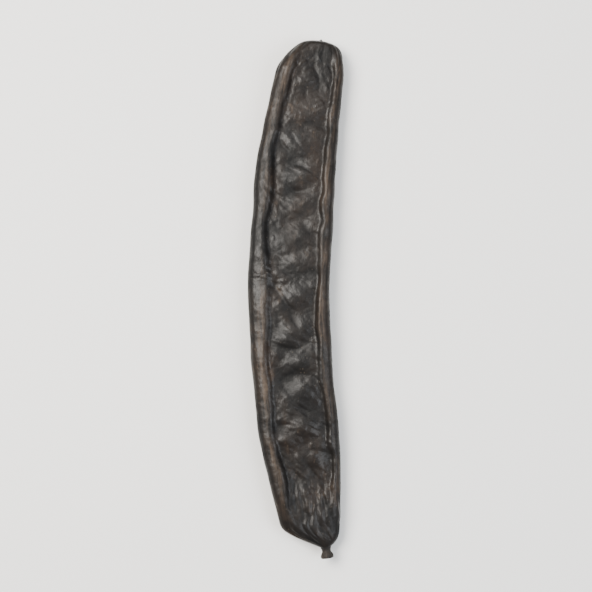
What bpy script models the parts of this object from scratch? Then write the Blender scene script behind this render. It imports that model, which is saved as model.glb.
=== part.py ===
"""A ripe, dried carob pod, lying on its broad side.

It has two pieces: the pod, which is one grown body from its neck to its beak, and the woody stub of the
stalk that it hung from. Units are metres, +Z is up. +Y runs from the stalk towards the beak along the
chord of the pod's bow, +X points to the hollow side of the bow, and the origin is on the surface that
the pod lies on, under the middle of the object.

The pod's skin is a function of two values: y, the place along the chord from the stalk's joint, and turn,
the angle round the section, where 0 is the hollow edge, a quarter turn the upper face and a half turn the
round edge. In a section, x is the share of the half width, from -1 at the round edge to 1 at the hollow one.
"""

import math

import bmesh
import bpy
from mathutils import Matrix, Vector, noise

# The pod's outline, seen on its broad side
POD_LENGTH = 0.1792  # chord, from the stalk's joint to the beak
BEND = 0.0088  # how far the middle of the spine stands off that chord
HALF_WIDTH = 0.0148  # at its widest
WIDEST = 0.120  # from there to the beak the pod narrows
NARROWING = 0.18  # by this share of its width
NECK_RADIUS = 0.0020
NECK_SHIFT = 0.00375  # the neck sits towards the hollow edge
NECK_SHIFT_LENGTH = 0.008
NECK_SHARE = 0.58  # how much of the full width and thickness the short neck opens to by itself
NECK_LENGTH = 0.0102
SHOULDER_LENGTH = 0.055  # the shoulder opens the rest, from the joint to the full width
ROUND_END = 0.0145  # the stretch over which the far end rounds off
END_CURVE = 0.735  # power of that end's curve, across and in thickness: 1 is an ellipse
BEAK_LENGTH = 0.0010
BEAK_FOOT_RADIUS = 0.0022  # of the beak's cone, as far inside the pod's end as the beak is long
BEAK_FADE = (0.002, 0.006)  # the cone fades out between these distances from its tip
BEAK_BLUNTNESS = 0.0012
BEAK_SHIFT = 0.0024  # the beak sits towards the hollow edge
BEAK_SHIFT_LENGTH = 0.014
EDGE_WAVE = 0.0006  # how far each edge strays in and out
EDGE_WAVE_LENGTH = 0.021
EDGE_RIPPLE = 0.35  # share of that wave which comes back as a shorter ripple
EDGE_RIPPLE_LENGTH = 0.0068

# The pod's cross-section: a thick rim along each edge and a thinner face between them
RIM_HALF_THICKNESS = 0.0049
FACE_HALF_THICKNESS = 0.0034
THICKNESS_NECK = 0.010  # the neck and the shoulder as they open in thickness
THICKNESS_SHOULDER = 0.030
THICKNESS_TAPER = 0.0090  # the stretch over which the far end thins out
BODY_SQUARENESS = 8.0  # power of the section's curve: 2 is an ellipse, more is squarer
BODY_START = (0.004, 0.026)  # from the first to the second place, the round neck turns into the full section
BODY_END = (0.001, 0.012)  # the same at the far end, measured back from the foot of the beak
FACE_EDGE = {1: 0.55, -1: 0.40}  # where the face ends and the rim is full, as shares of the half width
RIM_START = {1: 0.79, -1: 0.66}
RIM_STRAY = 0.14  # how far that border wanders, in the same shares
RIM_STRAY_LENGTH = 0.017
RIM_SWELL = 0.00045  # how far the rims swell and sink along the pod
RIM_SWELL_LENGTH = 0.013
FURROW_PLACE = {1: 0.65, -1: 0.50}
FURROW_WIDTH = 0.055
FURROW_DEPTH = 0.00032
SUTURE_DEPTH = {1: 0.0013, -1: 0.0009}  # the channel along the hollow edge (1) and the round edge (-1)
SUTURE_HALF_HEIGHT = 0.0013
SUTURE_REACH = (0.80, 0.97)  # the channel fades in between these shares of the half width

# The seeds that show through both faces
SEED_COUNT = 13
FIRST_SEED = 0.030  # from the stalk's joint
LAST_SEED = 0.163
SEED_HALF_LENGTH = 0.0039  # along the pod
SEED_HALF_REACH = 0.44  # across the pod, as a share of the half width
SEED_RISE = 0.00085
SEED_STRAY = 0.0022  # along the pod
SEED_MIDDLE = 0.08  # across the pod, as a share of the half width
SEED_SHIFT = 0.08  # how far a seed sits off that middle
SEED_EVENNESS = (0.75, 0.5)  # a seed's share of the full rise: the usual one, and how far it strays
SEED_LEAN = 0.35  # slant of the seeds, as the shift along the pod for each unit across
SEED_BLUFFNESS = 1.3  # power of the bump's curve: 1 is a plain bell, more is flatter on top and steeper

# Dents, wrinkles and folds of the dried skin
DENT_DEPTH = 0.00050
DENT_SIZE = 0.013
WRINKLE_DEPTH = 0.00110
WRINKLE_SPACING = 0.0115  # along the pod
WRINKLE_REACH = 0.0165  # across the pod
WRINKLE_SLANT = 0.55  # the wrinkles run aslant: the shift along the pod for each unit across
WRINKLE_WARP = 0.55
WRINKLE_WARP_SCALE = 0.7
WRINKLE_OCTAVES = 2
WRINKLE_LEVEL = 0.32  # the height of the wrinkles' noise that leaves the skin where it was
RIM_WRINKLE = 0.40  # share of the wrinkles' depth that reaches the rims
FOLD_DEPTH = 0.0006  # folds that run out of the neck onto the shoulder
FOLD_SPACING = 0.30  # across the pod, as a share of the half width
FOLD_LENGTH = 0.019
FOLD_SHARPNESS = 0.35
FOLD_START = (0.002, 0.008)  # the folds deepen and fade between these places along the pod
FOLD_END = (0.012, 0.040)

# Every kind of irregularity reads a lane of the noise of its own
LANE_SPACING = 7.31
SIDE_SPACING = 2.17  # between the two edges or the two faces in one lane
EDGE_LANE, RIPPLE_LANE, BORDER_LANE, SWELL_LANE, DENT_LANE, WRINKLE_LANE, FOLD_LANE = range(1, 8)
SEED_LANE, RISE_LANE, BARK_LANE = range(8, 11)
SEED_STEP = 2.3  # how far apart two seeds read the noise
WARP_SEED = 1795984965  # which of the noise's random offsets warps the wrinkles, so that they come out the same

# How the pod lies: its middle dips to the round edge and its ends to the hollow edge
SLOPE_STEP = 0.0002  # the reach over which the bow's slope is measured
ROLL = math.radians(4.2)
ARCH = 0.0012
TILT = 0.0006  # how much higher the beak's end of the spine lies than the stalk's
NECK_LIFT = 0.0012
NECK_LIFT_LENGTH = 0.030
REST_CUT = 0.00032  # how much of the lowest bumps the surface below presses flat

# The stub of the stalk
STALK_GAP = 0.0003  # the joint between pod and stalk
STALK_LENGTH = 0.0036
STALK_RADIUS = 0.00165
STALK_WAIST = 0.00150
WAIST_REACH = 0.7  # share of the stalk's length that the waist takes up
DISC_RADIUS = 0.0022  # the flared end where it left its twig
DISC_START = 0.35  # the flare runs between these shares of the stalk's length
DISC_FULL = 0.80
BARK_ROUGHNESS = 0.06  # share of the radius
BARK_STEP = 3.0  # how much the bark changes from one end to the other, and round the stalk
BARK_TURN = 2.1
SCAR_DEPTH = 0.0005
SCAR_LIP = 0.72  # radius of the scar's lip and of its floor, as shares of the disc's
SCAR_FLOOR = 0.45

# Mesh density
STATIONS = 128
AROUND = 44
STALK_STATIONS = 12
STALK_AROUND = 20
OUTLINE_STEPS = 4000  # for measuring along the pod's outline

POD_COLOUR = (0.030, 0.021, 0.016, 1.0)
POD_ROUGHNESS = 0.42
STALK_COLOUR = (0.050, 0.033, 0.022, 1.0)
STALK_ROUGHNESS = 0.7


def clamp(value):
    """The value, kept between 0 and 1."""
    return min(1.0, max(0.0, value))


def smoothstep(low, high, value):
    """0 below low, 1 above high and a smooth S between them."""
    share = clamp((value - low) / (high - low))
    return share * share * (3.0 - 2.0 * share)


def level_off(share):
    """A parabola's height: 0 at 0, and level at 1 and beyond."""
    return 1.0 - (1.0 - clamp(share)) ** 2


def dome(share):
    """The height of a quarter circle: 0 at 0, and level at 1 and beyond."""
    return math.sqrt(1.0 - (1.0 - clamp(share)) ** 2)


def side_of(value):
    """1 for a value on the hollow edge's or the upper face's side, and -1 on the other."""
    return 1 if value >= 0.0 else -1


def uneven(lane, side, along, across=0.0):
    """A smooth random height between -1 and 1, which differs from lane to lane and side to side."""
    return noise.noise(Vector((along, across, LANE_SPACING * lane + SIDE_SPACING * side)))


def body_share(y):
    """How much of the full cross-section the pod has: 0 at the neck and the beak, 1 along the body."""
    return smoothstep(*BODY_START, y) * smoothstep(*BODY_END, POD_LENGTH - BEAK_LENGTH - y)


def beak_radius(y):
    """The radius of the beak, a blunt cone that goes on into the pod's end and fades out there."""
    to_tip = POD_LENGTH - y
    taper = clamp(to_tip / (2.0 * BEAK_LENGTH)) * (1.0 - smoothstep(*BEAK_FADE, to_tip))
    return BEAK_FOOT_RADIUS * taper * dome(to_tip / BEAK_BLUNTNESS)


def tapered(y, full, neck_length, shoulder_length, end_length):
    """Half the pod's width or thickness at y, which is full along the body."""
    neck, shoulder = level_off(y / neck_length), level_off(y / shoulder_length)
    opened = NECK_SHARE * neck + (1.0 - NECK_SHARE) * shoulder
    end = dome((POD_LENGTH - BEAK_LENGTH - y) / end_length) ** END_CURVE
    body = (NECK_RADIUS + (full - NECK_RADIUS) * opened) * end
    return math.hypot(body, beak_radius(y))


def half_width(y):
    """Half the pod's width at y: a short neck, a long shoulder, an even body, a round end and its beak."""
    widest = HALF_WIDTH * (1.0 - NARROWING * smoothstep(WIDEST, POD_LENGTH, y))
    return tapered(y, widest, NECK_LENGTH, SHOULDER_LENGTH, ROUND_END)


def rim_half_thickness(y):
    """Half the pod's thickness at its rims."""
    return tapered(y, RIM_HALF_THICKNESS, THICKNESS_NECK, THICKNESS_SHOULDER, THICKNESS_TAPER)


def bowed_line(y):
    """The even bow that the pod follows, before it is set down."""
    rise = math.sin(math.pi * y / POD_LENGTH)
    lift = NECK_LIFT * (1.0 - smoothstep(0.0, NECK_LIFT_LENGTH, y))
    return Vector((-BEND * rise, y, ARCH * rise + lift + TILT * y / POD_LENGTH))


def spine(y):
    """The middle of the cross-section at y: the bow, with the neck and the beak nearer its hollow side."""
    beak = BEAK_SHIFT * smoothstep(POD_LENGTH - BEAK_SHIFT_LENGTH, POD_LENGTH, y)
    neck = NECK_SHIFT * (1.0 - smoothstep(0.0, NECK_SHIFT_LENGTH, y))
    return bowed_line(y) + Vector((beak + neck, 0.0, 0.0))


def frame_at(y):
    """The place, the direction towards the hollow edge and the upward direction of the section at y."""
    tangent = (bowed_line(y + SLOPE_STEP) - bowed_line(y - SLOPE_STEP)).normalized()
    level = tangent.cross(Vector((0.0, 0.0, 1.0))).normalized()
    roll = ROLL * math.cos(2.0 * math.pi * y / POD_LENGTH) * body_share(y)
    side = Matrix.Rotation(roll, 3, tangent) @ level
    return spine(y), side, side.cross(tangent)


def seeds():
    """Each seed's place along the pod, its shift across and its share of the full rise."""
    usual, range_of_rise = SEED_EVENNESS
    for i in range(SEED_COUNT):
        even = FIRST_SEED + (LAST_SEED - FIRST_SEED) * i / (SEED_COUNT - 1)
        stray = uneven(SEED_LANE, 1, i * SEED_STEP)
        rise = usual + range_of_rise * uneven(RISE_LANE, 1, i * SEED_STEP)
        yield even + SEED_STRAY * stray, SEED_MIDDLE + SEED_SHIFT * stray, rise


SEEDS = tuple(seeds())


def seed_relief(y, x):
    """How far the seeds push the skin out at y along the pod and x across it."""
    height = 0.0
    for place, shift, rise in SEEDS:
        across = (x - shift) / SEED_HALF_REACH
        along = (y - place - SEED_LEAN * HALF_WIDTH * (x - shift)) / SEED_HALF_LENGTH
        height = max(height, rise * math.exp(-((along * along + across * across) ** SEED_BLUFFNESS)))
    return SEED_RISE * height


def wrinkle_relief(y, x, face):
    """How far the wrinkles raise or sink the skin: sharp creases with round swells between them."""
    across = x * HALF_WIDTH
    place = Vector((
        (y + WRINKLE_SLANT * face * across) / WRINKLE_SPACING,
        across / WRINKLE_REACH,
        LANE_SPACING * WRINKLE_LANE + SIDE_SPACING * face,
    ))
    warped = place + WRINKLE_WARP * noise.noise_vector(place * WRINKLE_WARP_SCALE)
    return WRINKLE_DEPTH * (noise.turbulence(warped, WRINKLE_OCTAVES, True) - WRINKLE_LEVEL)


def fold_relief(y, x, face):
    """The folds that fan out of the neck and fade along the shoulder, along the lines where a noise is zero."""
    fade = smoothstep(*FOLD_START, y) * (1.0 - smoothstep(*FOLD_END, y))
    height = abs(uneven(FOLD_LANE, face, y / FOLD_LENGTH, x / FOLD_SPACING))
    return -FOLD_DEPTH * fade * max(0.0, 1.0 - height / FOLD_SHARPNESS)


def rim_share(y, x):
    """0 on the pod's face and 1 on its rim, with a border that wanders along the pod."""
    stray = RIM_STRAY * uneven(BORDER_LANE, side_of(x), y / RIM_STRAY_LENGTH)
    return smoothstep(FACE_EDGE[side_of(x)] + stray, RIM_START[side_of(x)] + stray, abs(x))


def relief(y, x, face):
    """How far the skin stands off the plain section: seeds, swells, furrows, dents, wrinkles and folds."""
    rim = rim_share(y, x)
    dents = DENT_DEPTH * uneven(DENT_LANE, face, y / DENT_SIZE, x * HALF_WIDTH / DENT_SIZE)
    swell = RIM_SWELL * uneven(SWELL_LANE, face, y / RIM_SWELL_LENGTH, 2.0 * SIDE_SPACING * side_of(x)) * rim
    furrow = -FURROW_DEPTH * math.exp(-(((abs(x) - FURROW_PLACE[side_of(x)]) / FURROW_WIDTH) ** 2))
    wrinkles = wrinkle_relief(y, x, face) * (1.0 - (1.0 - RIM_WRINKLE) * rim)
    body = seed_relief(y, x) * (1.0 - rim) + dents + swell + furrow + wrinkles
    return body * body_share(y) + fold_relief(y, x, face) * (1.0 - rim)


def edge_wave(y, edge):
    """How far an edge strays outwards at y."""
    wave = uneven(EDGE_LANE, edge, y / EDGE_WAVE_LENGTH)
    ripple = EDGE_RIPPLE * uneven(RIPPLE_LANE, edge, y / EDGE_RIPPLE_LENGTH)
    return EDGE_WAVE * (wave + ripple) * body_share(y)


def pod_point(y, turn):
    """The skin at y along the pod and turn round it, where 0 is the hollow edge and a quarter the top."""
    place, side, up = frame_at(y)
    x = math.cos(turn)
    face, edge = side_of(math.sin(turn)), side_of(x)
    body = body_share(y)
    power = 2.0 + (BODY_SQUARENESS - 2.0) * body
    roundness = math.sqrt(max(0.0, 1.0 - abs(x) ** power))
    thinner = (1.0 - rim_share(y, x)) * body * (1.0 - FACE_HALF_THICKNESS / RIM_HALF_THICKNESS)
    z = face * roundness * (rim_half_thickness(y) * (1.0 - thinner) + relief(y, x, face))
    channel = SUTURE_DEPTH[edge] * math.exp(-((z / SUTURE_HALF_HEIGHT) ** 2)) * smoothstep(*SUTURE_REACH, abs(x))
    across = x * half_width(y) + edge * (edge_wave(y, edge) * abs(x) - channel * body)
    return place + side * across + up * z


def even_stations(count):
    """Places along the pod that are evenly spaced on its outline, so that they crowd at its round ends."""
    places = [POD_LENGTH * i / OUTLINE_STEPS for i in range(OUTLINE_STEPS + 1)]
    reached = [0.0]
    for near, far in zip(places, places[1:]):
        reached.append(reached[-1] + math.hypot(far - near, half_width(far) - half_width(near)))
    found, at = [], 0
    for i in range(count + 1):
        wanted = reached[-1] * i / count
        while at < OUTLINE_STEPS and reached[at] < wanted:
            at += 1
        found.append(places[at])
    return found


def turns(count):
    """The angles of the points of a ring."""
    return [2.0 * math.pi * i / count for i in range(count)]


def close_tube(bm, rings, tip=None):
    """Joins rings of vertices into a tube with a cap on its first ring, and on its last one or a tip."""
    for near, far in zip(rings, rings[1:]):
        for i, vertex in enumerate(near):
            j = (i + 1) % len(near)
            bm.faces.new((vertex, near[j], far[j], far[i]))
    bm.faces.new(reversed(rings[0]))
    last = rings[-1]
    if tip is None:
        bm.faces.new(last)
        return
    for i, vertex in enumerate(last):
        bm.faces.new((vertex, last[(i + 1) % len(last)], tip))


def pod_mesh():
    """The pod: rings of skin points from the neck to the beak."""
    bm = bmesh.new()
    rings = [
        [bm.verts.new(pod_point(y, turn)) for turn in turns(AROUND)]
        for y in even_stations(STATIONS)[:-1]
    ]
    close_tube(bm, rings, tip=bm.verts.new(spine(POD_LENGTH)))
    return bm


def stalk_radius(share):
    """The stalk's radius, from its joint with the pod at 0 to the rim of its flared end at 1."""
    waist = STALK_RADIUS + (STALK_WAIST - STALK_RADIUS) * math.sin(math.pi * clamp(share / WAIST_REACH))
    return waist + (DISC_RADIUS - waist) * smoothstep(DISC_START, DISC_FULL, share)


def stalk_mesh():
    """The stub of the stalk: it goes straight on from the neck and ends in a flared, hollowed scar."""
    bm = bmesh.new()
    start, side, up = frame_at(0.0)
    back = side.cross(up)
    rings = []
    for i in range(STALK_STATIONS + 1):
        share = i / STALK_STATIONS
        centre = start + back * (STALK_GAP + STALK_LENGTH * share)
        ring = []
        for turn in turns(STALK_AROUND):
            outward = side * math.cos(turn) + up * math.sin(turn)
            bark = uneven(BARK_LANE, 1, BARK_STEP * share + BARK_TURN * math.cos(turn), BARK_TURN * math.sin(turn))
            ring.append(bm.verts.new(centre + outward * stalk_radius(share) * (1.0 + BARK_ROUGHNESS * bark)))
        rings.append(ring)
    end = start + back * (STALK_GAP + STALK_LENGTH)
    lip = [bm.verts.new(end + (vertex.co - end) * SCAR_LIP) for vertex in rings[-1]]
    floor = [bm.verts.new(end - back * SCAR_DEPTH + (vertex.co - end) * SCAR_FLOOR) for vertex in rings[-1]]
    close_tube(bm, rings + [lip, floor])
    return bm


def set_down(meshes):
    """Lowers the pieces onto z = 0, presses the lowest bumps flat there and centres them over the origin."""
    vertices = [vertex for bm in meshes for vertex in bm.verts]
    floor = min(vertex.co.z for vertex in vertices) + REST_CUT
    middle = [
        (min(vertex.co[axis] for vertex in vertices) + max(vertex.co[axis] for vertex in vertices)) / 2.0
        for axis in (0, 1)
    ]
    for vertex in vertices:
        vertex.co -= Vector((middle[0], middle[1], floor))
        vertex.co.z = max(vertex.co.z, 0.0)


def material(name, colour, roughness):
    """A plain material for one piece."""
    made = bpy.data.materials.new(name)
    made.use_nodes = True
    shader = made.node_tree.nodes["Principled BSDF"]
    shader.inputs["Base Color"].default_value = colour
    shader.inputs["Roughness"].default_value = roughness
    shader.inputs["Metallic"].default_value = 0.0
    return made


def make_object(name, bm, finish):
    """An object of its own for a finished mesh, shaded smooth."""
    bmesh.ops.recalc_face_normals(bm, faces=bm.faces)
    mesh = bpy.data.meshes.new(name)
    bm.to_mesh(mesh)
    bm.free()
    mesh.shade_smooth()
    mesh.materials.append(finish)
    made = bpy.data.objects.new(name, mesh)
    bpy.context.collection.objects.link(made)
    return made


def main():
    """Clears the scene and builds both pieces."""
    for old in list(bpy.data.objects):
        bpy.data.objects.remove(old)
    noise.seed_set(WARP_SEED)
    pod, stalk = pod_mesh(), stalk_mesh()
    set_down([pod, stalk])
    make_object("pod", pod, material("pod_skin", POD_COLOUR, POD_ROUGHNESS))
    make_object("stalk", stalk, material("stalk_wood", STALK_COLOUR, STALK_ROUGHNESS))


main()
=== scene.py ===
"""The looks of a ripe, dried carob pod that lies on its broad side, with the stub of its stalk.

Two pieces stand for the two solids of the fixed frame. The pod's skin follows the same rules as its solid:
a bowed body between a neck and a beak, a thick rim along each edge, a furrow beside each rim, and a thinner
face that is wrinkled over the seeds. On top of them come the fine creases, striae, nodules and pores that
dried skin has. The stub of the stalk is shaped with modelling operators and set on the neck.

Units are metres and +Z is up. +Y runs from the stalk to the beak, and +X points to the hollow side of the bow.
"""

import logging
import math
from dataclasses import dataclass, field
from enum import IntEnum
from typing import Any, Iterator, NamedTuple

import bmesh
import bpy
from mathutils import Matrix, Vector, noise


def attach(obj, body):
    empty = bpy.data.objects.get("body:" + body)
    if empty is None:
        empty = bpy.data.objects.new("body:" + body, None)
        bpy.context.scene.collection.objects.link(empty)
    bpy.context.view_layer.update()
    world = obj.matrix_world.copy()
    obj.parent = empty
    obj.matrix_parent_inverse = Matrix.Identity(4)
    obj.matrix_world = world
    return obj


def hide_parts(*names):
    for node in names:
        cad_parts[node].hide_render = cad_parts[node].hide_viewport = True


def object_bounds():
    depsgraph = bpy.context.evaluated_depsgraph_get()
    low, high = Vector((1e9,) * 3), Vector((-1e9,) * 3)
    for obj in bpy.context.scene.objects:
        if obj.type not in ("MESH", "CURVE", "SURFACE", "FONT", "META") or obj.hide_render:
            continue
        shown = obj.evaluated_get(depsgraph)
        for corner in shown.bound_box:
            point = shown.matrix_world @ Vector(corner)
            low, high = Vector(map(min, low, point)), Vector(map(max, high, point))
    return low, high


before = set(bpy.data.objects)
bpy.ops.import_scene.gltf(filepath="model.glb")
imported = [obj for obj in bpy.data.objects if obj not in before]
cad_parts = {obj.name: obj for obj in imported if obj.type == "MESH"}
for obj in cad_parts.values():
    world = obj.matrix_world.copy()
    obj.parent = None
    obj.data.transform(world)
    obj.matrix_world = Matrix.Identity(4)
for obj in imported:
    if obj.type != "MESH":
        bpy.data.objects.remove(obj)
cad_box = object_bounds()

LOG = logging.getLogger("carob_pod")
BODY = "root"
LANE_SPACING = 7.31
SIDE_SPACING = 2.17
WARP_SEED = 1795984965  # the solid's own: which random offset of the noise warps the creases

Colour = tuple[float, float, float, float]


class Edge(IntEnum):
    """One of the pod's two long edges, named by the side of the bow that it is on."""

    HOLLOW = 1
    ROUND = -1


class Face(IntEnum):
    """One of the pod's two broad faces."""

    UPPER = 1
    LOWER = -1


class Lane(IntEnum):
    """The lane of the noise that each kind of irregularity reads."""

    EDGE = 1
    RIPPLE = 2
    BORDER = 3
    SWELL = 4
    DENT = 5
    WRINKLE = 6
    FOLD = 7
    SEED = 8
    RISE = 9
    BARK = 10
    CREASE = 11
    STRIA = 12
    NICK = 13
    NODULE = 14
    PUCKER = 15
    GATHER = 16


def clamp(value: float) -> float:
    """The value, kept between 0 and 1."""
    return min(1.0, max(0.0, value))


def smoothstep(low: float, high: float, value: float) -> float:
    """0 below low, 1 above high and a smooth S between them."""
    share = clamp((value - low) / (high - low))
    return share * share * (3.0 - 2.0 * share)


def level_off(share: float) -> float:
    """A parabola's height: 0 at 0, and level at 1 and beyond."""
    return 1.0 - (1.0 - clamp(share)) ** 2


def dome(share: float) -> float:
    """The height of a quarter circle: 0 at 0, and level at 1 and beyond."""
    return math.sqrt(1.0 - (1.0 - clamp(share)) ** 2)


def bell(offset: float, width: float) -> float:
    """1 at no offset, falling off smoothly over the width."""
    return math.exp(-((offset / width) ** 2))


def lane_height(lane: Lane, side: float) -> float:
    """The third coordinate at which a lane of the noise is read, for one edge or face."""
    return LANE_SPACING * lane + SIDE_SPACING * side


def uneven(lane: Lane, side: float, along: float, across: float = 0.0) -> float:
    """A smooth random height between -1 and 1.

    Args:
        lane: the kind of irregularity.
        side: the edge or face, so that the two differ.
        along: the place along the pod, in units of the irregularity's size.
        across: the same across the pod.

    Returns:
        The noise's height there.
    """
    return noise.noise(Vector((along, across, lane_height(lane, side))))


@dataclass(frozen=True)
class PodOutline:
    """The pod's outline, thickness and bow, the same as in its solid."""

    length: float = 0.1792
    bend: float = 0.0088
    half_width: float = 0.0148
    widest: float = 0.120
    narrowing: float = 0.18
    neck_radius: float = 0.0020
    neck_shift: float = 0.00375
    neck_shift_length: float = 0.008
    neck_share: float = 0.58
    neck_length: float = 0.0102
    shoulder_length: float = 0.055
    round_end: float = 0.0145
    end_curve: float = 0.735
    beak_length: float = 0.0010
    beak_foot_radius: float = 0.0022
    beak_fade: tuple[float, float] = (0.002, 0.006)
    beak_bluntness: float = 0.0012
    beak_shift: float = 0.0024
    beak_shift_length: float = 0.014
    rim_half_thickness: float = 0.0049
    thickness_neck: float = 0.010
    thickness_shoulder: float = 0.030
    thickness_taper: float = 0.0090
    body_start: tuple[float, float] = (0.004, 0.026)
    body_end: tuple[float, float] = (0.001, 0.012)
    edge_wave: float = 0.0006
    edge_wave_length: float = 0.021
    edge_ripple: float = 0.35
    edge_ripple_length: float = 0.0068
    roll: float = math.radians(4.2)
    arch: float = 0.0012
    tilt: float = 0.0006
    neck_lift: float = 0.0012
    neck_lift_length: float = 0.030
    slope_step: float = 0.0002
    measuring_steps: int = 4000

    def body_share(self, y: float) -> float:
        """How much of the full cross-section the pod has at y: 0 at its ends, 1 along the body."""
        far = self.length - self.beak_length - y
        return smoothstep(*self.body_start, y) * smoothstep(*self.body_end, far)

    def beak_radius(self, y: float) -> float:
        """The radius at y of the beak, a blunt cone that fades out inside the pod's end."""
        to_tip = self.length - y
        taper = clamp(to_tip / (2.0 * self.beak_length)) * (1.0 - smoothstep(*self.beak_fade, to_tip))
        return self.beak_foot_radius * taper * dome(to_tip / self.beak_bluntness)

    def tapered(self, y: float, full: float, neck: float, shoulder: float, end: float) -> float:
        """Half the width or thickness at y.

        Args:
            y: the place along the pod.
            full: the value along the body.
            neck: the short stretch over which it opens to the neck's share of that.
            shoulder: the long stretch over which it opens to the rest.
            end: the stretch over which the far end rounds off.

        Returns:
            The value at y.
        """
        opened = self.neck_share * level_off(y / neck) + (1.0 - self.neck_share) * level_off(y / shoulder)
        closed = dome((self.length - self.beak_length - y) / end) ** self.end_curve
        body = (self.neck_radius + (full - self.neck_radius) * opened) * closed
        return math.hypot(body, self.beak_radius(y))

    def half_width_at(self, y: float) -> float:
        """Half the pod's width at y."""
        widest = self.half_width * (1.0 - self.narrowing * smoothstep(self.widest, self.length, y))
        return self.tapered(y, widest, self.neck_length, self.shoulder_length, self.round_end)

    def half_thickness_at(self, y: float) -> float:
        """Half the pod's thickness at y, at its rims."""
        return self.tapered(y, self.rim_half_thickness, self.thickness_neck, self.thickness_shoulder,
                            self.thickness_taper)

    def bowed_line(self, y: float) -> Vector:
        """The even bow that the pod follows."""
        rise = math.sin(math.pi * y / self.length)
        lift = self.neck_lift * (1.0 - smoothstep(0.0, self.neck_lift_length, y))
        return Vector((-self.bend * rise, y, self.arch * rise + lift + self.tilt * y / self.length))

    def spine(self, y: float) -> Vector:
        """The middle of the cross-section at y, with the neck and the beak nearer the hollow side."""
        beak = self.beak_shift * smoothstep(self.length - self.beak_shift_length, self.length, y)
        neck = self.neck_shift * (1.0 - smoothstep(0.0, self.neck_shift_length, y))
        return self.bowed_line(y) + Vector((beak + neck, 0.0, 0.0))

    def frame_at(self, y: float) -> tuple[Vector, Vector, Vector]:
        """The cross-section's place and directions.

        Args:
            y: the place along the pod.

        Returns:
            The section's middle, the direction to the hollow edge and the upward direction.
        """
        ahead = self.bowed_line(y + self.slope_step)
        tangent = (ahead - self.bowed_line(y - self.slope_step)).normalized()
        level = tangent.cross(Vector((0.0, 0.0, 1.0))).normalized()
        roll = self.roll * math.cos(2.0 * math.pi * y / self.length) * self.body_share(y)
        side = Matrix.Rotation(roll, 3, tangent) @ level
        return self.spine(y), side, side.cross(tangent)

    def edge_stray(self, y: float, edge: Edge) -> float:
        """How far an edge strays outwards at y."""
        wave = uneven(Lane.EDGE, edge, y / self.edge_wave_length)
        ripple = self.edge_ripple * uneven(Lane.RIPPLE, edge, y / self.edge_ripple_length)
        return self.edge_wave * (wave + ripple) * self.body_share(y)

    def even_stations(self, count: int) -> list[float]:
        """Places along the pod that are evenly spaced on its outline.

        Args:
            count: how many stretches the places bound.

        Returns:
            One more place than that, from the neck to the tip of the beak.
        """
        steps = self.measuring_steps
        places = [self.length * i / steps for i in range(steps + 1)]
        reached = [0.0]
        for near, far in zip(places, places[1:]):
            stretch = math.hypot(far - near, self.half_width_at(far) - self.half_width_at(near))
            reached.append(reached[-1] + stretch)
        found, at = [], 0
        for i in range(count + 1):
            wanted = reached[-1] * i / count
            while at < steps and reached[at] < wanted:
                at += 1
            found.append(places[at])
        return found


class Heights(NamedTuple):
    """What the relief is made of at one point, kept for the finish as well as for the form."""

    offset: float
    rim: float
    swell: float
    crease: float
    seed: float


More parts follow.
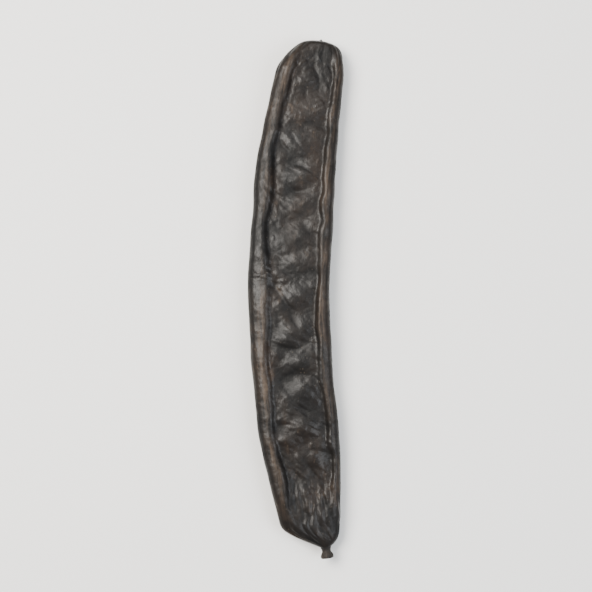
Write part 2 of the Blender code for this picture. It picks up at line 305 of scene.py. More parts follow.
@dataclass(frozen=True)
class SkinRelief:
    """The rises and hollows of the skin: the solid's own and the finer ones of dried skin."""

    outline: PodOutline
    face_edge: dict[Edge, float] = field(default_factory=lambda: {Edge.HOLLOW: 0.55, Edge.ROUND: 0.40})
    rim_start: dict[Edge, float] = field(default_factory=lambda: {Edge.HOLLOW: 0.79, Edge.ROUND: 0.66})
    furrow_place: dict[Edge, float] = field(default_factory=lambda: {Edge.HOLLOW: 0.65, Edge.ROUND: 0.50})
    rim_stray: float = 0.14
    rim_stray_length: float = 0.017
    border_ripple: float = 0.40
    border_ripple_length: float = 0.0062
    rim_swell: float = 0.00045
    rim_swell_length: float = 0.013
    furrow_width: float = 0.055
    furrow_depth: float = 0.00032
    seed_count: int = 13
    first_seed: float = 0.030
    last_seed: float = 0.163
    seed_half_length: float = 0.0039
    seed_half_reach: float = 0.44
    seed_rise: float = 0.00085
    seed_stray: float = 0.0022
    seed_middle: float = 0.08
    seed_shift: float = 0.08
    seed_evenness: tuple[float, float] = (0.75, 0.5)
    seed_lean: float = 0.35
    seed_bluffness: float = 1.3
    seed_step: float = 2.3
    dent_depth: float = 0.00050
    dent_size: float = 0.013
    wrinkle_depth: float = 0.00110
    wrinkle_spacing: float = 0.0115
    wrinkle_reach: float = 0.0165
    wrinkle_slant: float = 0.55
    wrinkle_warp: float = 0.55
    wrinkle_warp_scale: float = 0.7
    wrinkle_octaves: int = 4
    wrinkle_level: float = 0.37
    rim_wrinkle: float = 0.40
    fold_depth: float = 0.0006
    fold_spacing: float = 0.30
    fold_length: float = 0.019
    fold_sharpness: float = 0.35
    fold_start: tuple[float, float] = (0.002, 0.008)
    fold_end: tuple[float, float] = (0.012, 0.040)
    crease_depth: float = 0.00016
    crease_spacing: float = 0.0030
    crease_reach: float = 0.0052
    crease_octaves: int = 3
    crease_level: float = 0.34
    stria_depth: float = 0.00011
    stria_length: float = 0.0105
    stria_spacing: float = 0.0012
    nick_depth: float = 0.00007
    nick_spacing: float = 0.0017
    nick_reach: float = 0.0060
    nodule_rise: float = 0.00026
    nodule_length: float = 0.0026
    nodule_width: float = 0.06
    nodule_gap: float = 0.10
    skin_start: tuple[float, float] = (0.0004, 0.0040)
    skin_end: tuple[float, float] = (0.0004, 0.0050)
    end_wrinkle: float = 0.45
    gather_share: dict[int, float] = field(default_factory=lambda: {0: 0.060, 1: 0.045})
    gather_size: float = 2.3
    gather_length: float = 0.015
    gather_sharpness: float = 0.42
    gather_fade: tuple[float, float] = (0.006, 0.022)

    def seeds(self) -> Iterator[tuple[float, float, float]]:
        """Each seed's place along the pod, its shift across and its share of the full rise."""
        usual, spread = self.seed_evenness
        for i in range(self.seed_count):
            even = self.first_seed + (self.last_seed - self.first_seed) * i / (self.seed_count - 1)
            stray = uneven(Lane.SEED, 1, i * self.seed_step)
            rise = usual + spread * uneven(Lane.RISE, 1, i * self.seed_step)
            yield even + self.seed_stray * stray, self.seed_middle + self.seed_shift * stray, rise

    def seed_share(self, y: float, x: float, seeds: list[tuple[float, float, float]]) -> float:
        """How much of a seed's full bump shows.

        Args:
            y: the place along the pod.
            x: the place across it, as a share of the half width.
            seeds: the seeds that are near enough to matter.

        Returns:
            The share, 0 between the seeds.
        """
        height = 0.0
        for place, shift, rise in seeds:
            across = (x - shift) / self.seed_half_reach
            lean = self.seed_lean * self.outline.half_width * (x - shift)
            along = (y - place - lean) / self.seed_half_length
            height = max(height, rise * math.exp(-((along * along + across * across) ** self.seed_bluffness)))
        return height

    def wrinkle_height(self, y: float, x: float, face: Face) -> float:
        """The height of the warped noise that wrinkles the skin: 0 in a crease, about 1 at the most."""
        across = x * self.outline.half_width
        place = Vector((
            (y + self.wrinkle_slant * face * across) / self.wrinkle_spacing,
            across / self.wrinkle_reach,
            lane_height(Lane.WRINKLE, face),
        ))
        warped = place + self.wrinkle_warp * noise.noise_vector(place * self.wrinkle_warp_scale)
        return noise.turbulence(warped, self.wrinkle_octaves, True)

    def fold(self, y: float, x: float, face: Face) -> float:
        """The depth of the folds that fan out of the neck, below zero."""
        fade = smoothstep(*self.fold_start, y) * (1.0 - smoothstep(*self.fold_end, y))
        if fade <= 0.0:
            return 0.0
        height = abs(uneven(Lane.FOLD, face, y / self.fold_length, x / self.fold_spacing))
        return -self.fold_depth * fade * max(0.0, 1.0 - height / self.fold_sharpness)

    def border_stray(self, y: float, edge: Edge) -> float:
        """How far the border of a rim wanders outwards at y, as a share of the half width."""
        wave = uneven(Lane.BORDER, edge, y / self.rim_stray_length)
        ripple = uneven(Lane.BORDER, edge, y / self.border_ripple_length, SIDE_SPACING)
        return self.rim_stray * (wave + self.border_ripple * ripple)

    def rim_share(self, y: float, x: float, edge: Edge) -> float:
        """0 on the face and 1 on the rim, with a border that wanders along the pod."""
        stray = self.border_stray(y, edge)
        return smoothstep(self.face_edge[edge] + stray, self.rim_start[edge] + stray, abs(x))

    def crease_height(self, y: float, x: float, face: Face) -> float:
        """The height of the finer creases' noise: 0 in a crease."""
        across = x * self.outline.half_width
        place = Vector((
            (y - self.wrinkle_slant * face * across) / self.crease_spacing,
            across / self.crease_reach,
            lane_height(Lane.CREASE, face),
        ))
        warped = place + self.wrinkle_warp * noise.noise_vector(place * self.wrinkle_warp_scale)
        return noise.turbulence(warped, self.crease_octaves, True)

    def rim_lines(self, y: float, x: float, face: Face, rim: float) -> float:
        """The striae along the slopes of the rims and the fine nicks across the rims."""
        across = x * self.outline.half_width
        stria = uneven(Lane.STRIA, face, y / self.stria_length, across / self.stria_spacing)
        nick = abs(uneven(Lane.NICK, face, y / self.nick_spacing, across / self.nick_reach))
        slope = 4.0 * rim * (1.0 - rim)
        return self.stria_depth * stria * (0.35 + 0.65 * slope) - self.nick_depth * rim * (1.0 - nick) ** 3

    def gathering(self, y: float, turn: float) -> float:
        """The share by which the skin is drawn in, in folds that run into the neck and the beak.

        Args:
            y: the place along the pod.
            turn: the angle round it.

        Returns:
            The share of the point's distance from the spine.
        """
        drawn = 0.0
        for end, to_end in enumerate((y, self.outline.length - y)):
            fade = smoothstep(*self.skin_start, to_end) * (1.0 - smoothstep(*self.gather_fade, to_end))
            if fade > 0.0:
                across = self.gather_size * math.sin(turn) + SIDE_SPACING * end
                place = Vector((self.gather_size * math.cos(turn), across, lane_height(Lane.GATHER, 0)))
                place.z += to_end / self.gather_length
                fold = max(0.0, 1.0 - abs(noise.noise(place)) / self.gather_sharpness)
                drawn += self.gather_share[end] * fade * fold * fold
        return drawn

    def nodules(self, y: float, x: float, edge: Edge, face: Face) -> float:
        """The row of small knots on the face's side of each furrow."""
        across = abs(x) - self.furrow_place[edge] - self.border_stray(y, edge) + self.nodule_gap
        knot = max(0.0, uneven(Lane.NODULE, 2.0 * edge + face, y / self.nodule_length))
        return self.nodule_rise * knot * bell(across, self.nodule_width)

    def at(self, y: float, x: float, face: Face, edge: Edge,
           seeds: list[tuple[float, float, float]]) -> Heights:
        """Everything that lifts or sinks the skin at one point.

        Args:
            y: the place along the pod.
            x: the place across it, as a share of the half width.
            face: the broad face that the point is on.
            edge: the edge that it is nearer to.
            seeds: the seeds near y.

        Returns:
            The offset from the plain section, and what the finish needs.
        """
        body = self.outline.body_share(y)
        rim = self.rim_share(y, x, edge)
        across = x * self.outline.half_width
        dents = self.dent_depth * uneven(Lane.DENT, face, y / self.dent_size, across / self.dent_size)
        swell = uneven(Lane.SWELL, face, y / self.rim_swell_length, 2.0 * SIDE_SPACING * edge)
        border = self.furrow_place[edge] + self.border_stray(y, edge)
        furrow = -self.furrow_depth * (1.0 + swell) * bell(abs(x) - border, self.furrow_width)
        wrinkle = self.wrinkle_height(y, x, face)
        on_face = 1.0 - (1.0 - self.rim_wrinkle) * rim
        seed = self.seed_share(y, x, seeds) * (1.0 - rim)
        crease = self.crease_height(y, x, face)
        fine = self.crease_depth * (crease - self.crease_level) * (1.0 - 0.6 * rim)
        fine += self.rim_lines(y, x, face, rim) + self.nodules(y, x, edge, face)
        broad = self.seed_rise * seed + dents + self.rim_swell * swell * rim + furrow
        broad += self.wrinkle_depth * (wrinkle - self.wrinkle_level) * on_face
        skin = smoothstep(*self.skin_start, y) * smoothstep(*self.skin_end, self.outline.length - y)
        ends = self.end_wrinkle * self.wrinkle_depth * (wrinkle - self.wrinkle_level) * (skin - body * skin)
        offset = broad * body + fine * skin + ends + self.fold(y, x, face) * (1.0 - rim)
        return Heights(offset, rim * body, wrinkle, crease, seed * body)


@dataclass(frozen=True)
class Wire:
    """A socket's value in a material, on which Python's operators add Math nodes."""

    graph: "Graph"
    socket: bpy.types.NodeSocket

    def math(self, operation: str, *others: "Wire | float", clamped: bool = False) -> "Wire":
        """Joins this value with others in one Math node.

        Args:
            operation: the Math node's operation.
            others: the values of its further sockets.
            clamped: whether the result is kept between 0 and 1.

        Returns:
            The result.
        """
        inputs = dict(enumerate((self, *others)))
        made = self.graph.node("ShaderNodeMath", {"operation": operation, "use_clamp": clamped}, inputs)
        return self.graph.wire(made)

    def __add__(self, other: "Wire | float") -> "Wire":
        """This value plus another."""
        return self.math("ADD", other)

    def __radd__(self, other: float) -> "Wire":
        """A number plus this value."""
        return self.math("ADD", other)

    def __sub__(self, other: "Wire | float") -> "Wire":
        """This value less another."""
        return self.math("SUBTRACT", other)

    def __rsub__(self, other: float) -> "Wire":
        """A number less this value."""
        return (self * -1.0) + other

    def __mul__(self, other: "Wire | float") -> "Wire":
        """This value times another."""
        return self.math("MULTIPLY", other)

    def __rmul__(self, other: float) -> "Wire":
        """A number times this value."""
        return self.math("MULTIPLY", other)

    def __pow__(self, other: float) -> "Wire":
        """This value raised to a power."""
        return self.math("POWER", other)

    def between(self, low: float, high: float) -> "Wire":
        """0 where this value is at low or less, 1 at high or more, and even between them."""
        return ((self - low) * (1.0 / (high - low))).math("ADD", 0.0, clamped=True)


class Graph:
    """A material's nodes."""

    def __init__(self, name: str) -> None:
        """Starts a material.

        Args:
            name: the material's name.
        """
        self.material = bpy.data.materials.new(name)
        self.material.use_nodes = True
        self.tree = self.material.node_tree
        self.shader = self.tree.nodes["Principled BSDF"]

    @staticmethod
    def socket(sockets: Any, key: str | int) -> bpy.types.NodeSocket:
        """A socket by its number, its identifier or its name."""
        if isinstance(key, int):
            return sockets[key]
        return next((found for found in sockets if found.identifier == key), None) or sockets[key]

    def fill(self, node: bpy.types.Node, inputs: dict[str | int, Any]) -> None:
        """Sets or links a node's sockets.

        Args:
            node: the node.
            inputs: a value or a wire for each socket that isn't left as it is.
        """
        for key, value in inputs.items():
            target = self.socket(node.inputs, key)
            if isinstance(value, Wire):
                self.tree.links.new(value.socket, target)
            else:
                target.default_value = value

    def node(self, kind: str, settings: dict[str, Any] | None = None,
             inputs: dict[str | int, Any] | None = None) -> bpy.types.Node:
        """Adds a node.

        Args:
            kind: the node's type.
            settings: its own settings; stops are a colour ramp's places and colours.
            inputs: values or wires for its sockets.

        Returns:
            The node.
        """
        made = self.tree.nodes.new(kind)
        for name, value in (settings or {}).items():
            if name == "stops":
                ramp = made.color_ramp.elements
                while len(ramp) < len(value):
                    ramp.new(1.0)
                for stop, (place, colour) in zip(ramp, value):
                    stop.position, stop.color = place, colour
            else:
                setattr(made, name, value)
        self.fill(made, inputs or {})
        return made

    def wire(self, node: bpy.types.Node, key: str | int = 0) -> Wire:
        """The value of one of a node's outputs."""
        return Wire(self, self.socket(node.outputs, key))

    def attribute(self, name: str, output: str = "Fac") -> Wire:
        """A value that the mesh carries at each point."""
        return self.wire(self.node("ShaderNodeAttribute", {"attribute_name": name}), output)

    def scaled(self, place: Wire, sizes: tuple[float, float, float]) -> Wire:
        """A place divided by the sizes of a pattern along the three axes."""
        scale = tuple(1.0 / size for size in sizes)
        made = self.node("ShaderNodeVectorMath", {"operation": "MULTIPLY"}, {0: place, 1: scale})
        return self.wire(made, "Vector")

    def noise(self, place: Wire, detail: float = 3.0, roughness: float = 0.5, distortion: float = 0.0) -> Wire:
        """A noise with features of about one unit.

        Args:
            place: where it is read.
            detail: how many finer layers it has.
            roughness: the strength of each finer layer.
            distortion: how much it is swirled.

        Returns:
            A value between 0 and 1.
        """
        inputs = {"Vector": place, "Scale": 1.0, "Detail": detail, "Roughness": roughness,
                  "Distortion": distortion}
        return self.wire(self.node("ShaderNodeTexNoise", {}, inputs), "Fac")

    def cells(self, place: Wire, feature: str, jitter: float = 1.0) -> Wire:
        """The distance in a pattern of cells of about one unit.

        Args:
            place: where it is read.
            feature: which distance, F1 or DISTANCE_TO_EDGE.
            jitter: how irregular the cells are.

        Returns:
            The distance.
        """
        inputs = {"Vector": place, "Scale": 1.0, "Randomness": jitter}
        return self.wire(self.node("ShaderNodeTexVoronoi", {"feature": feature}, inputs), "Distance")

    def mix(self, share: Wire, base: "Wire | Colour", over: "Wire | Colour") -> Wire:
        """Two colours mixed.

        Args:
            share: how much of the second colour there is.
            base: the first colour.
            over: the second colour.

        Returns:
            The mixed colour.
        """
        inputs = {"Factor_Float": share, "A_Color": base, "B_Color": over}
        made = self.node("ShaderNodeMix", {"data_type": "RGBA", "clamp_factor": True}, inputs)
        return self.wire(made, "Result_Color")

    def bump(self, height: Wire, distance: float, strength: float = 1.0, normal: Wire | None = None) -> Wire:
        """A normal that a height tilts.

        Args:
            height: the height, between 0 and 1.
            distance: how far that is in metres.
            strength: how much of it is seen.
            normal: the normal under it, if another bump comes first.

        Returns:
            The normal.
        """
        inputs: dict[str | int, Any] = {"Height": height, "Distance": distance, "Strength": strength}
        if normal is not None:
            inputs["Normal"] = normal
        return self.wire(self.node("ShaderNodeBump", {}, inputs), "Normal")

    def finish(self, inputs: dict[str | int, Any]) -> bpy.types.Material:
        """Sets the main shader's sockets and returns the material."""
        self.fill(self.shader, inputs)
        return self.material


@dataclass(frozen=True)
class PodSkinFinish:
    """Dried, near black skin: satin on its swells, dull in its creases and painted darker there with shade and
    some dust, rubbed brown on its high places.
    """

    # The colour low in the creases: painted shade, with some dust.
    crease_shade_and_dust: Colour = (0.0022, 0.0020, 0.0019, 1.0)
    plain: Colour = (0.0086, 0.0077, 0.0072, 1.0)
    warm: Colour = (0.0190, 0.0128, 0.0092, 1.0)
    rubbed: Colour = (0.066, 0.046, 0.032, 1.0)
    fleck: Colour = (0.10, 0.077, 0.056, 1.0)
    satin: float = 0.31
    dull: float = 0.54

    def material(self) -> bpy.types.Material:
        """The material, on the places and heights that the skin's mesh carries."""
        graph = Graph("pod_skin")
        place = graph.attribute("straight", "Vector")
        rim, swell = graph.attribute("rim"), graph.attribute("swell")
        crease, crest = graph.attribute("crease"), graph.attribute("crest")
        cloud = graph.noise(graph.scaled(place, (0.012, 0.024, 0.012)), 4.0, 0.6, 0.6)
        streak = graph.noise(graph.scaled(place, (0.0010, 0.012, 0.0010)), 4.0, 0.65)
        grain = graph.noise(graph.scaled(place, (0.0007, 0.0009, 0.0007)), 5.0, 0.65)
        mottle = graph.noise(graph.scaled(place, (0.0030, 0.0042, 0.0030)), 4.0, 0.62, 0.8)
        pores = graph.cells(graph.scaled(place, (0.0011, 0.0015, 0.0011)), "F1")
        crackle = graph.cells(graph.scaled(place, (0.0016, 0.0024, 0.0016)), "DISTANCE_TO_EDGE")

        # The skin is painted darker the lower it lies in its wrinkles and creases: painted shade, partly dust.
        # The same height also makes the high places glossier.
        height = (swell * 0.62 + crease * 0.38).between(0.10, 0.52)
        colour = graph.mix(height, self.crease_shade_and_dust, self.plain)
        warmth = cloud.between(0.44, 0.66) * (0.35 + height * 0.65)
        colour = graph.mix(warmth * 0.65, colour, self.warm)
        wear = crest * streak.between(0.40, 0.62) * cloud.between(0.36, 0.58)
        wear = wear + height * mottle.between(0.56, 0.72) * cloud.between(0.48, 0.62) * 0.75
        colour = graph.mix(wear * 0.72, colour, self.rubbed)
        flecks = (1.0 - pores.between(0.10, 0.20)) * mottle.between(0.52, 0.66)
        colour = graph.mix(flecks * 0.45, colour, self.fleck)

        gloss = height * (0.55 + mottle.between(0.35, 0.60) * 0.45) * (1.0 - wear * 0.5)
        roughness = self.dull - gloss * (self.dull - self.satin) + grain.between(0.4, 0.7) * 0.05
        leather = graph.bump(crackle.between(0.0, 0.16), 0.00005, 0.45)
        fibres = graph.bump(streak, 0.00014, 0.30, leather)
        pits = graph.bump(pores.between(0.05, 0.22), 0.00006, 0.45, fibres)
        skin = graph.bump(grain, 0.00010, 0.32, pits)
        return graph.finish({
            "Base Color": colour, "Roughness": roughness, "Normal": skin, "IOR": 1.48,
            "Specular IOR Level": 0.17, "Coat Weight": height * 0.05, "Coat Roughness": 0.20,
        })


@dataclass(frozen=True)
class StalkWoodFinish:
    """Dry bark with lengthwise fibres, and paler broken wood on the scar."""

    joint: Colour = (0.0070, 0.0060, 0.0055, 1.0)
    bark: Colour = (0.0085, 0.0068, 0.0056, 1.0)
    cork: Colour = (0.026, 0.019, 0.014, 1.0)
    wood: Colour = (0.080, 0.058, 0.040, 1.0)
    dull: float = 0.74

    def material(self) -> bpy.types.Material:
        """The material, on the places that the stalk's mesh carries."""
        graph = Graph("stalk_wood")
        place = graph.attribute("straight", "Vector")
        scar = graph.attribute("scar")
        fibre = graph.noise(graph.scaled(place, (0.0004, 0.0004, 0.0030)), 4.0, 0.6)
        knot = graph.noise(graph.scaled(place, (0.0011, 0.0011, 0.0011)), 4.0, 0.6)
        colour = graph.mix(fibre.between(0.42, 0.68), self.bark, self.cork)
        colour = graph.mix(graph.attribute("joint") * (1.0 - knot.between(0.40, 0.70)), colour, self.joint)
        colour = graph.mix(scar * knot.between(0.35, 0.60) * 0.8, colour, self.wood)
        rough = graph.bump(knot, 0.00020, 0.6, graph.bump(fibre, 0.00020, 0.7))
        return graph.finish({
            "Base Color": colour, "Roughness": self.dull - fibre.between(0.3, 0.7) * 0.12,
            "Normal": rough, "Specular IOR Level": 0.26,
        })


@dataclass(frozen=True)
class FloorFinish:
    """A plain pale floor."""

    pale: Colour = (0.82, 0.81, 0.79, 1.0)
    dull: float = 0.7

    def material(self) -> bpy.types.Material:
        """The material."""
        return Graph("pale_floor").finish({"Base Color": self.pale, "Roughness": self.dull})


class Modelling:
    """Modelling operators, used as by hand."""

    @staticmethod
    def start() -> None:
        """Leaves edit mode and deselects everything, so that an operator acts on the new piece alone."""
        if bpy.context.object and bpy.context.object.mode != "OBJECT":
            bpy.ops.object.mode_set(mode="OBJECT")
        bpy.ops.object.select_all(action="DESELECT")

    @staticmethod
    def edit() -> None:
        """Goes into edit mode with everything deselected."""
        bpy.ops.object.mode_set(mode="EDIT")
        bpy.ops.mesh.select_all(action="DESELECT")

    @staticmethod
    def done(piece: bpy.types.Object, name: str) -> bpy.types.Object:
        """Leaves edit mode, names the piece and shades it smooth."""
        bpy.ops.object.mode_set(mode="OBJECT")
        piece.name = name
        piece.data.name = name
        bpy.ops.object.shade_smooth()
        return piece

    @staticmethod
    def carry(piece: bpy.types.Object, name: str, values: list[float], kind: str = "FLOAT") -> None:
        """Stores a value for each point of a piece.

        Args:
            piece: the piece.
            name: the attribute's name.
            values: one number for each point, or three for a vector.
            kind: the attribute's type.
        """
        carried = piece.data.attributes.new(name, kind, "POINT")
        carried.data.foreach_set("vector" if kind == "FLOAT_VECTOR" else "value", values)


@dataclass
class PodSkin:
    """The pod: a grid that is wrapped round the bowed body, closed and dressed."""

    outline: PodOutline
    relief: SkinRelief
    finish: PodSkinFinish = PodSkinFinish()
    stations: int = 500
    around: int = 190
    squareness: float = 8.0
    face_half_thickness: float = 0.0034
    suture_depth: dict[Edge, float] = field(default_factory=lambda: {Edge.HOLLOW: 0.0013, Edge.ROUND: 0.0009})
    suture_half_height: float = 0.0013
    suture_reach: tuple[float, float] = (0.80, 0.97)
    pucker_depth: float = 0.00022
    pucker_spacing: float = 0.0024
    crest_place: dict[Edge, float] = field(default_factory=lambda: {Edge.HOLLOW: 0.80, Edge.ROUND: 0.72})
    crest_width: float = 0.085
    seed_reach: float = 0.012
    merge_gap: float = 1e-6

    def shift(self) -> Vector:
        """How far the solid was moved when it was set down: the tip of the beak is one point in both."""
        tip = max((vertex.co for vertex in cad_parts["pod"].data.vertices), key=lambda place: place.y)
        return tip - self.outline.spine(self.outline.length)

    def rings(self) -> Iterator[tuple[list[Vector], list[Vector], list[Heights], list[float]]]:
        """The skin, ring by ring from the neck to the beak.

        Returns:
            For each ring its places, its places in the straightened pod, its heights and how near each
            point is to the crest of a rim.
        """
        outline, shift = self.outline, self.shift()
        turns = [2.0 * math.pi * i / self.around for i in range(self.around)]
        all_seeds = list(self.relief.seeds())
        thinner = 1.0 - self.face_half_thickness / outline.rim_half_thickness
        for y in outline.even_stations(self.stations):
            place, side, up = outline.frame_at(y)
            body, width = outline.body_share(y), outline.half_width_at(y)
            thickness = outline.half_thickness_at(y)
            power = 2.0 + (self.squareness - 2.0) * body
            strays = {edge: outline.edge_stray(y, edge) for edge in Edge}
            puckers = {edge: self.pucker_depth * abs(uneven(Lane.PUCKER, edge, y / self.pucker_spacing))
                       for edge in Edge}
            crest_places = {edge: self.crest_place[edge] + self.relief.border_stray(y, edge) for edge in Edge}
            seeds = [seed for seed in all_seeds if abs(seed[0] - y) < self.seed_reach]
            points, straight, heights, crests = [], [], [], []
            for turn in turns:
                x = math.cos(turn)
                face = Face.UPPER if math.sin(turn) >= 0.0 else Face.LOWER
                edge = Edge.HOLLOW if x >= 0.0 else Edge.ROUND
                found = self.relief.at(y, x, face, edge, seeds)
                roundness = math.sqrt(max(0.0, 1.0 - abs(x) ** power))
                thick = thickness * (1.0 - (1.0 - self.relief.rim_share(y, x, edge)) * body * thinner)
                z = face * roundness * (thick + found.offset)
                channel = bell(z, self.suture_half_height) * smoothstep(*self.suture_reach, abs(x))
                depth = (self.suture_depth[edge] + puckers[edge]) * channel * body
                across = x * width + edge * (strays[edge] * abs(x) - depth)
                drawn = 1.0 - self.relief.gathering(y, turn)
                across, z = across * drawn, z * drawn
                point = place + side * across + up * z + shift
                point.z = max(0.0, point.z)
                points.append(point)
                straight.append(Vector((across, y, z)))
                heights.append(found)
                crests.append(bell(abs(x) - crest_places[edge], self.crest_width) * body)
            yield points, straight, heights, crests

    def build(self) -> bpy.types.Object:
        """Wraps a grid round the pod and closes it.

        Returns:
            The pod's object, at the origin, with its place in its mesh.
        """
        Modelling.start()
        bpy.ops.mesh.primitive_grid_add(x_subdivisions=self.stations, y_subdivisions=self.around, size=1.0)
        skin = bpy.context.object
        rings = list(self.rings())
        places, straight = [], []
        carried: dict[str, list[float]] = {name: [] for name in ("rim", "swell", "crease", "seed", "crest")}
        for vertex in skin.data.vertices:
            station = round((vertex.co.x + 0.5) * self.stations)
            turn = round((vertex.co.y + 0.5) * self.around) % self.around
            ring, ring_straight, ring_heights, ring_crests = rings[station]
            places.extend(ring[turn])
            straight.extend(ring_straight[turn])
            for name in ("rim", "swell", "crease", "seed"):
                carried[name].append(getattr(ring_heights[turn], name))
            carried["crest"].append(ring_crests[turn])
        skin.data.vertices.foreach_set("co", places)
        Modelling.carry(skin, "straight", straight, "FLOAT_VECTOR")
        for name, values in carried.items():
            Modelling.carry(skin, name, values)
        Modelling.edit()
        bpy.ops.mesh.select_all(action="SELECT")
        bpy.ops.mesh.remove_doubles(threshold=self.merge_gap)
        bpy.ops.mesh.select_all(action="DESELECT")
        bpy.ops.mesh.select_non_manifold()
        bpy.ops.mesh.edge_face_add()
        bpy.ops.mesh.select_all(action="SELECT")
        bpy.ops.mesh.normals_make_consistent(inside=False)
        return Modelling.done(skin, "pod_skin")

    def dress(self, skin: bpy.types.Object) -> None:
        """Gives the pod its finish and ties it to the frame.

        Args:
            skin: the pod's object.
        """
        skin.data.materials.append(self.finish.material())
        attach(skin, BODY)
        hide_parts("pod")


@dataclass
class StalkStub:
    """The woody stub: a disc drawn out into a waisted stem that ends in a flared, hollow scar."""

    outline: PodOutline
    finish: StalkWoodFinish = StalkWoodFinish()
    root: float = 0.0012
    gap: float = 0.0003
    joint_reach: float = 0.0021
    length: float = 0.0036
    radius: float = 0.00165
    waist: float = 0.00150
    waist_reach: float = 0.7
    disc_radius: float = 0.0022
    flare: tuple[float, float] = (0.35, 0.80)
    collar_rise: float = 0.00018
    collar_reach: float = 0.10
    steps: int = 22
    around: int = 48
    lip: float = 0.00058
    lip_rise: float = 0.00012
    scar_depth: float = 0.0005
    scar_slope: float = 0.0005
    pith: float = 0.0006
    pith_rise: float = 0.00022
    bark: float = 0.06
    bark_step: float = 3.0
    bark_turn: float = 2.1
    fibre: float = 0.035
    fibre_turn: float = 6.5
    fibre_step: float = 1.4
    softening: int = 1

    def radius_at(self, share: float) -> float:
        """The stalk's radius, from its joint with the pod at 0 to the rim of its flared end at 1."""
        waist = self.radius + (self.waist - self.radius) * math.sin(math.pi * clamp(share / self.waist_reach))
        collar = self.collar_rise * bell(share, self.collar_reach)
        return waist + collar + (self.disc_radius - waist) * smoothstep(*self.flare, share)

    def draw_out(self) -> None:
        """Extrudes the selected disc along the stalk, with the radius of each place."""
        near = self.radius_at(0.0)
        bpy.ops.mesh.extrude_region_move(TRANSFORM_OT_translate={"value": (0.0, 0.0, self.root + self.gap)})
        for i in range(1, self.steps + 1):
            far = self.radius_at(i / self.steps)
            rise = self.length / self.steps
            bpy.ops.mesh.extrude_region_move(TRANSFORM_OT_translate={"value": (0.0, 0.0, rise)})
            bpy.ops.transform.resize(value=(far / near, far / near, 1.0))
            near = far

    def hollow_scar(self) -> None:
        """Insets the selected end into a raised lip, a hollow and a low pith in its middle."""
        bpy.ops.mesh.inset(thickness=self.lip * 0.4, depth=self.lip_rise)
        bpy.ops.mesh.inset(thickness=self.lip * 0.6, depth=0.0)
        bpy.ops.mesh.inset(thickness=self.scar_slope, depth=-self.scar_depth)
        bpy.ops.mesh.inset(thickness=self.scar_slope * 0.4, depth=0.0)
        bpy.ops.mesh.inset(thickness=self.scar_slope * 0.3, depth=self.pith_rise)
        bpy.ops.mesh.poke()

    def roughen(self, stub: bpy.types.Object) -> None:
        """Moves the points in and out, so that the bark is knotty and fibrous.

        Args:
            stub: the stalk's object, upright on the origin.
        """
        for vertex in stub.data.vertices:
            place = vertex.co
            share = (place.z - self.root - self.gap) / self.length
            turn = math.atan2(place.y, place.x)
            knots = uneven(Lane.BARK, 1, self.bark_step * share + self.bark_turn * math.cos(turn),
                           self.bark_turn * math.sin(turn))
            fibres = uneven(Lane.BARK, 2, self.fibre_step * share + self.fibre_turn * math.cos(turn),
                            self.fibre_turn * math.sin(turn))
            grown = 1.0 + self.bark * knots + self.fibre * fibres
            vertex.co = Vector((place.x * grown, place.y * grown, place.z))

    def build(self) -> bpy.types.Object:
        """Models the stub upright and sets it on the neck.

        Returns:
            The stalk's object, at the origin, with its place in its mesh.
        """
        Modelling.start()
        bpy.ops.mesh.primitive_circle_add(vertices=self.around, radius=self.radius_at(0.0), fill_type="NGON")
        stub = bpy.context.object
        Modelling.edit()
        bpy.ops.mesh.select_all(action="SELECT")
        self.draw_out()
        self.hollow_scar()
        bpy.ops.mesh.select_all(action="SELECT")
        bpy.ops.mesh.normals_make_consistent(inside=False)
        Modelling.done(stub, "stalk_stub")
        finer = stub.modifiers.new("finer", "SUBSURF")
        finer.levels = finer.render_levels = self.softening
        bpy.ops.object.modifier_apply(modifier=finer.name)
        self.roughen(stub)
        straight = [value for vertex in stub.data.vertices for value in vertex.co]
        top = self.root + self.gap + self.length
        scar = [smoothstep(top - 0.0007, top - 0.0002, vertex.co.z)
                * (1.0 - smoothstep(0.80, 0.95, vertex.co.xy.length / self.disc_radius))
                for vertex in stub.data.vertices]
        Modelling.carry(stub, "straight", straight, "FLOAT_VECTOR")
        joint = [1.0 - smoothstep(self.root, self.root + self.joint_reach, vertex.co.z)
                 for vertex in stub.data.vertices]
        Modelling.carry(stub, "scar", scar)
        Modelling.carry(stub, "joint", joint)
        self.set_on_neck(stub)
        return stub

    def set_on_neck(self, stub: bpy.types.Object) -> None:
        """Turns the stub to the way the neck points and sinks its root into it.

        Args:
            stub: the stalk's object, upright on the origin.
        """
        start, side, up = self.outline.frame_at(0.0)
        back = side.cross(up)
        start = start + PodSkin(self.outline, SkinRelief(self.outline)).shift()
        turned = Matrix((up, -side, back)).transposed().to_4x4()
        stub.data.transform(Matrix.Translation(start - back * self.root) @ turned)

    def dress(self, stub: bpy.types.Object) -> None:
        """Gives the stalk its finish and ties it to the frame.

        Args:
            stub: the stalk's object.
        """
        stub.data.materials.append(self.finish.material())
        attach(stub, BODY)
        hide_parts("stalk")


class Lamp(NamedTuple):
    """A soft light: where it stands, how large and strong it is, and its colour."""

    name: str
    place: tuple[float, float, float]
    size: tuple[float, float]
    power: float
    colour: tuple[float, float, float]


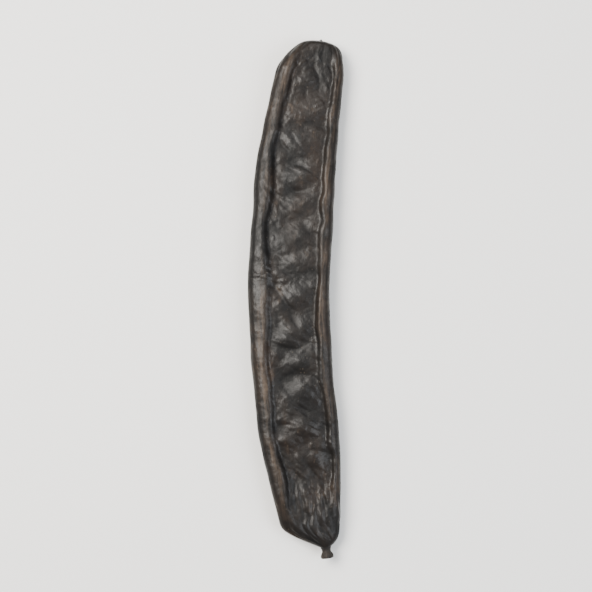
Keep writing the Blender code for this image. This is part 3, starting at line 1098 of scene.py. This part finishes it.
@dataclass
class Studio:
    """The pale floor, the soft lights and the camera."""

    floor: FloorFinish = FloorFinish()
    floor_size: float = 6.0
    floor_drop: float = 0.00004
    sky: Colour = (0.93, 0.95, 1.0, 1.0)
    sky_strength: float = 0.32
    lamps: tuple[Lamp, ...] = (
        Lamp("key", (-0.32, 0.14, 0.56), (0.42, 0.36), 11.5, (1.0, 0.965, 0.91)),
        Lamp("fill", (0.40, -0.12, 0.48), (0.36, 0.44), 4.0, (0.90, 0.95, 1.0)),
        Lamp("head", (0.05, 0.42, 0.56), (0.50, 0.30), 2.0, (1.0, 0.99, 0.97)),
    )
    lens: float = 85.0
    sensor: float = 36.0
    elevation: float = math.radians(87.0)
    fill_share: float = 0.88

    def build(self) -> None:
        """Sets up the floor, the world, the lights and the camera."""
        Modelling.start()
        bpy.ops.mesh.primitive_plane_add(size=self.floor_size, location=(0.0, 0.0, -self.floor_drop))
        ground = Modelling.done(bpy.context.object, "floor")
        bpy.ops.object.transform_apply(location=True)
        ground.data.materials.append(self.floor.material())
        world = bpy.data.worlds.new("sky")
        world.use_nodes = True
        background = world.node_tree.nodes["Background"]
        background.inputs["Color"].default_value = self.sky
        background.inputs["Strength"].default_value = self.sky_strength
        bpy.context.scene.world = world
        for lamp in self.lamps:
            self.add_lamp(lamp)
        self.add_camera()

    def add_lamp(self, lamp: Lamp) -> None:
        """Hangs a soft light that points at the middle of the object.

        Args:
            lamp: the light.
        """
        light = bpy.data.lights.new(lamp.name, "AREA")
        light.shape = "RECTANGLE"
        light.size, light.size_y = lamp.size
        light.energy, light.color = lamp.power, lamp.colour
        stand = bpy.data.objects.new(lamp.name, light)
        bpy.context.scene.collection.objects.link(stand)
        stand.location = lamp.place
        stand.rotation_euler = (-Vector(lamp.place)).to_track_quat("-Z", "Y").to_euler()

    def add_camera(self) -> None:
        """Sets the camera to look down on the pod, so that its length fills the frame's height."""
        low, high = (Vector(corner) for corner in cad_box)
        middle = (low + high) / 2.0
        distance = (high.y - low.y) / self.fill_share * self.lens / self.sensor
        back = Vector((0.0, -math.cos(self.elevation), math.sin(self.elevation)))
        camera = bpy.data.cameras.new("camera")
        camera.lens, camera.sensor_width, camera.clip_start = self.lens, self.sensor, 0.01
        stand = bpy.data.objects.new("camera", camera)
        bpy.context.scene.collection.objects.link(stand)
        stand.location = middle + back * distance
        stand.rotation_euler = (math.pi / 2.0 - self.elevation, 0.0, 0.0)
        bpy.context.scene.camera = stand


def main() -> None:
    """Builds the pod, its stalk and the studio, and reports each."""
    logging.basicConfig(level=logging.INFO, format="%(name)s: %(message)s")
    noise.seed_set(WARP_SEED)
    outline = PodOutline()
    for part in (PodSkin(outline, SkinRelief(outline)), StalkStub(outline)):
        piece = part.build()
        part.dress(piece)
        LOG.info("%s: %d points, %d faces", piece.name, len(piece.data.vertices), len(piece.data.polygons))
    Studio().build()
    LOG.info("studio: floor, %d lights and camera", len(Studio().lamps))


if __name__ == "__main__":
    main()
